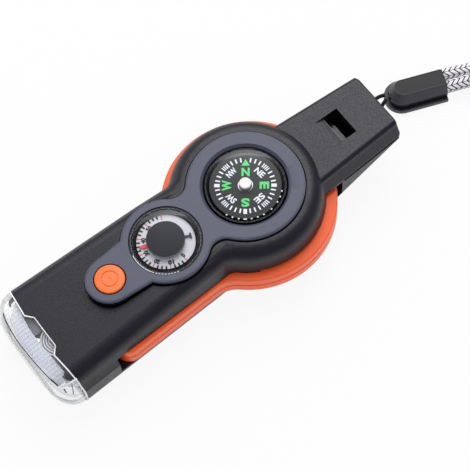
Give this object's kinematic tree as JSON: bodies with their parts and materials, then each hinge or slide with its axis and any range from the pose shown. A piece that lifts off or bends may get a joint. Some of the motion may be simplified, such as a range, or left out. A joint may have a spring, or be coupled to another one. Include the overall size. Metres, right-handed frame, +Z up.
{
  "type": "survival whistle",
  "caption": "Pocket survival whistle with a lamp, compass, dial thermometer, swing-out magnifier and mirror leaves, and a braided neck cord on a string loop.",
  "frame": {"origin": "bottom centre of the whistle's own box without the string, cap and cord: on the floor that the bottom case lies on, halfway between the lens front and the mouth end", "axes": "+X along the whistle from the lamp towards the mouth end and the cord; +Y to the side that the leaves swing out to; +Z up through the compass"},
  "size_m": [0.2088, 0.0686, 0.0225],
  "materials": {
    "case_black": "fine moulded texture",
    "plate_grey": "smooth satin",
    "leaf_orange": "satin",
    "button_orange": "satin",
    "housing_black": "semi gloss",
    "card_grey": "printed",
    "boss_cream": "smooth",
    "dial_white": "printed",
    "pointer_red": "painted",
    "clear_plastic": "polished clear plastic",
    "steel": "plain",
    "brass": "plain",
    "chrome": "bright",
    "mirror": "bright",
    "board_green": "solder mask",
    "holder_grey": "smooth",
    "wire_red": "smooth",
    "string_black": "twisted string",
    "cord_braid": "light and dark herringbone braid"
  },
  "bodies": {
    "whistle": {"top_shell": "case_black", "closing_plate": "case_black", "bottom_shell": "case_black", "face_plate": "plate_grey", "compass_cup": "housing_black", "compass_pivot": "brass", "compass_dome": "clear_plastic", "thermometer_cup": "housing_black", "thermometer_dial": "dial_white", "thermometer_coil": "brass", "thermometer_window": "clear_plastic", "switch_board": "board_green", "tact_switch": "steel", "switch_wires": "wire_red", "led_board": "board_green", "led": "clear_plastic", "reflector": "chrome", "reflector_bezel": "holder_grey", "front_lens": "clear_plastic", "cell_1": "steel", "cell_2": "steel", "cell_3": "steel", "cell_contacts": "brass", "leaf_pin": "steel", "shell_screws": "steel", "string_loop": "string_black", "cap_base": "case_black", "cap_cover": "case_black", "cord_lead_a": "cord_braid", "cord_lead_b": "cord_braid", "cord_coil": "cord_braid"},
    "compass_card": {"compass_card": "card_grey", "compass_boss": "boss_cream"},
    "pointer": {"thermometer_pointer": "pointer_red", "thermometer_disc": "card_grey"},
    "button": {"light_button": "button_orange"},
    "magnifier": {"magnifier_leaf": "leaf_orange", "magnifier_lens": "clear_plastic"},
    "mirror": {"mirror_leaf": "leaf_orange", "signal_mirror": "mirror"}
  },
  "joints": [
    {"name": "card_turn", "type": "hinge", "parent": "whistle", "child": "compass_card", "pos_m": [0.01435, 0, 0.0195], "axis": [0, 0, 1], "continuous": true},
    {"name": "pointer_turn", "type": "hinge", "parent": "whistle", "child": "pointer", "pos_m": [-0.01175, 0, 0.0195], "axis": [0, 0, 1], "range_deg": [-75, 150]},
    {"name": "button_press", "type": "slide", "parent": "whistle", "child": "button", "axis": [0, 0, -1], "range_m": [0, 0.0005], "stiffness_N_per_m": 1000},
    {"name": "magnifier_swing", "type": "hinge", "parent": "whistle", "child": "magnifier", "pos_m": [-0.03435, 0.01204, 0.0096], "axis": [0, 0, 1], "range_deg": [0, 100]},
    {"name": "mirror_swing", "type": "hinge", "parent": "whistle", "child": "mirror", "pos_m": [-0.03435, 0.01204, 0.0063], "axis": [0, 0, 1], "range_deg": [0, 100]}
  ]
}
